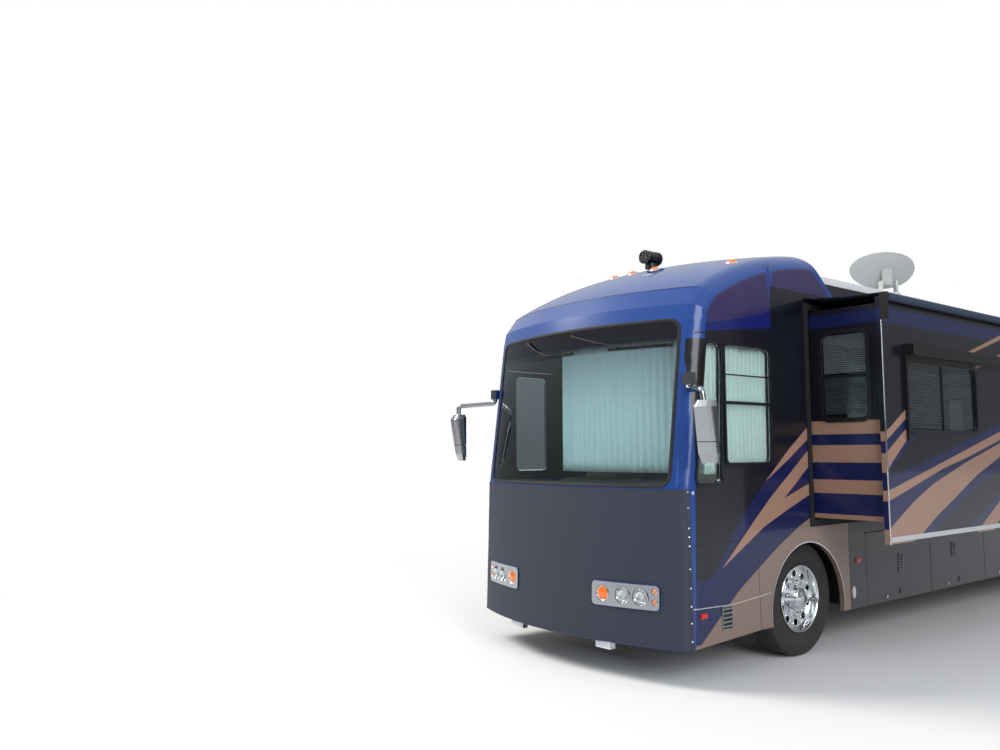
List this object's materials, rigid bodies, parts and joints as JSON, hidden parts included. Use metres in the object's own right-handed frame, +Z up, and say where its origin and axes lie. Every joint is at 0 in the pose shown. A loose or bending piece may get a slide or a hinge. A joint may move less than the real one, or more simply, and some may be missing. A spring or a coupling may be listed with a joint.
{
  "type": "rear-engine motorhome coach with slide-out rooms",
  "caption": "Full-size diesel motorhome with a bowed nose, windshield, extended slide rooms, baggage doors, roof dish and steered front wheels.",
  "frame": {"origin": "on the ground under the middle of the coach", "axes": "+Z up; the nose looks along -Y; +X is the driver's (street) side"},
  "size_m": [4.215, 12.2115, 4.2552],
  "materials": {
    "paint": "gloss",
    "nose_paint": "gloss",
    "skirt_paint": "gloss",
    "roof_white": "satin",
    "vinyl": "matte",
    "glass": "clear",
    "black_trim": "satin",
    "rubber": "matte",
    "tyre": "matte",
    "polished": "polished",
    "chrome": "polished",
    "lens": "clear",
    "steel": "satin",
    "cast": "matte",
    "floor_wood": "satin",
    "curtain": "matte",
    "topper_cloth": "matte",
    "seat_leather": "satin",
    "dash_plastic": "matte",
    "gear_white": "satin",
    "dish_grey": "satin"
  },
  "bodies": {
    "root": {"chassis": "steel", "cabin_floor": "floor_wood", "front_cap": "nose_paint", "rear_cap": "paint", "street_wall": "paint", "curb_wall": "paint", "street_skirt": "skirt_paint", "curb_skirt": "skirt_paint", "roof": "roof_white", "basement": "steel", "wheel_wells": "black_trim", "windshield": "glass", "side_glass": "glass", "window_frames": "black_trim", "slide_seals": "rubber", "nose_mask": "vinyl", "headlamp_bezels": "chrome", "lamps": "lens", "mirrors": "chrome", "wipers": "black_trim", "dash": "dash_plastic", "seat_bases": "steel", "seat_cushions": "seat_leather", "curtains": "curtain", "overhead_cabinet": "dash_plastic", "roof_gear": "gear_white", "engine": "cast", "axles": "cast", "air_springs": "rubber", "awnings": "black_trim"},
    "slide_street": {"slide_street_room": "paint", "slide_street_glass": "glass", "slide_street_trim": "black_trim", "topper_street": "topper_cloth"},
    "slide_curb": {"slide_curb_room": "paint", "slide_curb_glass": "glass", "slide_curb_trim": "black_trim", "topper_curb": "topper_cloth"},
    "dish_base": {"dish_turret": "gear_white"},
    "dish": {"dish_reflector": "dish_grey"},
    "entry_door": {"entry_door": "nose_paint", "entry_door_glass": "glass"},
    "engine_door": {"engine_door": "paint"},
    "knuckle_street": {"knuckle_street": "cast"},
    "wheel_front_street": {"rim_front_street": "polished", "tyre_front_street": "tyre"},
    "wheels_rear_street": {"rims_rear_street": "polished", "tyres_rear_street": "tyre"},
    "bay_door_street_1": {"bay_door_street_1": "skirt_paint"},
    "bay_door_street_2": {"bay_door_street_2": "skirt_paint"},
    "bay_door_street_3": {"bay_door_street_3": "skirt_paint"},
    "knuckle_curb": {"knuckle_curb": "cast"},
    "wheel_front_curb": {"rim_front_curb": "polished", "tyre_front_curb": "tyre"},
    "wheels_rear_curb": {"rims_rear_curb": "polished", "tyres_rear_curb": "tyre"},
    "bay_door_curb_1": {"bay_door_curb_1": "skirt_paint"},
    "bay_door_curb_2": {"bay_door_curb_2": "skirt_paint"},
    "bay_door_curb_3": {"bay_door_curb_3": "skirt_paint"}
  },
  "joints": [
    {"name": "steer_street", "type": "hinge", "parent": "root", "child": "knuckle_street", "pos_m": [0.95, -4.135, 0.51], "axis": [0, 0, 1], "range_deg": [-40, 40]},
    {"name": "spin_front_street", "type": "hinge", "parent": "knuckle_street", "child": "wheel_front_street", "pos_m": [1.105, -4.135, 0.51], "axis": [1, 0, 0], "continuous": true},
    {"name": "spin_rear_street", "type": "hinge", "parent": "root", "child": "wheels_rear_street", "pos_m": [0.935, 2.865, 0.51], "axis": [1, 0, 0], "continuous": true},
    {"name": "slide_street_travel", "type": "slide", "parent": "root", "child": "slide_street", "axis": [-1, 0, 0], "range_m": [0, 0.66], "deforming": ["topper_street"]},
    {"name": "bay_street_1_open", "type": "hinge", "parent": "root", "child": "bay_door_street_1", "pos_m": [1.3013, -2.403, 1.038], "axis": [0, -1, 0], "range_deg": [0, 85]},
    {"name": "bay_street_2_open", "type": "hinge", "parent": "root", "child": "bay_door_street_2", "pos_m": [1.3013, -1.051, 1.038], "axis": [0, -1, 0], "range_deg": [0, 85]},
    {"name": "bay_street_3_open", "type": "hinge", "parent": "root", "child": "bay_door_street_3", "pos_m": [1.3013, 0.301, 1.038], "axis": [0, -1, 0], "range_deg": [0, 85]},
    {"name": "steer_curb", "type": "hinge", "parent": "root", "child": "knuckle_curb", "pos_m": [-0.95, -4.135, 0.51], "axis": [0, 0, 1], "range_deg": [-40, 40]},
    {"name": "spin_front_curb", "type": "hinge", "parent": "knuckle_curb", "child": "wheel_front_curb", "pos_m": [-1.105, -4.135, 0.51], "axis": [1, 0, 0], "continuous": true},
    {"name": "spin_rear_curb", "type": "hinge", "parent": "root", "child": "wheels_rear_curb", "pos_m": [-0.935, 2.865, 0.51], "axis": [1, 0, 0], "continuous": true},
    {"name": "slide_curb_travel", "type": "slide", "parent": "root", "child": "slide_curb", "axis": [1, 0, 0], "range_m": [0, 0.66], "deforming": ["topper_curb"]},
    {"name": "bay_curb_1_open", "type": "hinge", "parent": "root", "child": "bay_door_curb_1", "pos_m": [-1.3013, -2.403, 1.038], "axis": [0, 1, 0], "range_deg": [0, 85]},
    {"name": "bay_curb_2_open", "type": "hinge", "parent": "root", "child": "bay_door_curb_2", "pos_m": [-1.3013, -1.051, 1.038], "axis": [0, 1, 0], "range_deg": [0, 85]},
    {"name": "bay_curb_3_open", "type": "hinge", "parent": "root", "child": "bay_door_curb_3", "pos_m": [-1.3013, 0.301, 1.038], "axis": [0, 1, 0], "range_deg": [0, 85]},
    {"name": "entry_open", "type": "hinge", "parent": "root", "child": "entry_door", "pos_m": [-1.3013, -5.538, 1.6], "axis": [0, 0, 1], "range_deg": [0, 95]},
    {"name": "engine_door_open", "type": "hinge", "parent": "root", "child": "engine_door", "pos_m": [0, 6.1013, 1.458], "axis": [1, 0, 0], "range_deg": [0, 75]},
    {"name": "dish_turn", "type": "hinge", "parent": "root", "child": "dish_base", "pos_m": [0.67, -1.135, 3.7], "axis": [0, 0, 1], "range_deg": [-170, 170]},
    {"name": "dish_tilt", "type": "hinge", "parent": "dish_base", "child": "dish", "pos_m": [0.67, -1.135, 3.85896], "axis": [0.6266, 0.7793, 0], "range_deg": [-25, 35]}
  ],
  "couplings": [
    {"joint": "steer_curb", "follows": "steer_street", "ratio": 1}
  ]
}
